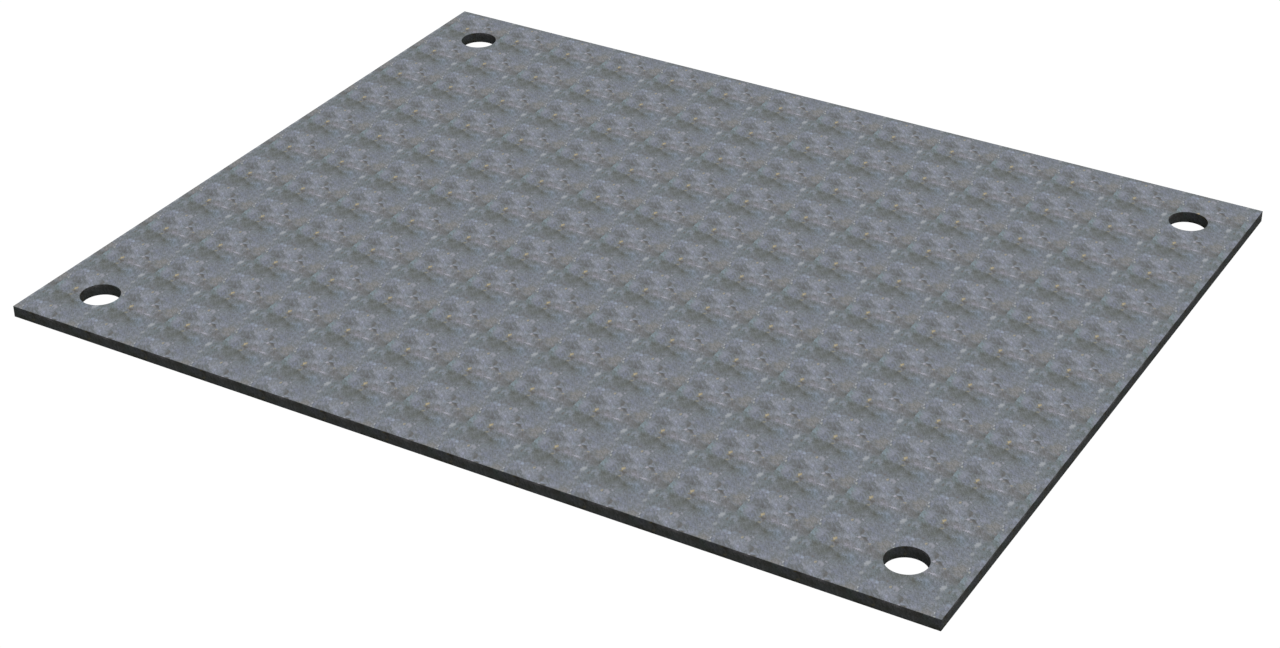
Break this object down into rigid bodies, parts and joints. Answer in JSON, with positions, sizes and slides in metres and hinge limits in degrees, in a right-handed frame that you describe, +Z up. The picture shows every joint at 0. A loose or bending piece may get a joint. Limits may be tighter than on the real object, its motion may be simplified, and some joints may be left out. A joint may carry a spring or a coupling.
{
  "type": "steel road plate",
  "caption": "Flat rectangular steel plate with a round lifting hole near each corner, laid over a trench or soft ground so that vehicles can cross.",
  "frame": {"origin": "middle of the plate's underside, on the surface that it lies on", "axes": "+X along the plate's length, +Y across its width, +Z up through its thickness"},
  "size_m": [2.5, 2, 0.03],
  "materials": {
    "hot_rolled_steel": "matte"
  },
  "bodies": {
    "root": {"plate": "hot_rolled_steel"}
  },
  "joints": []
}
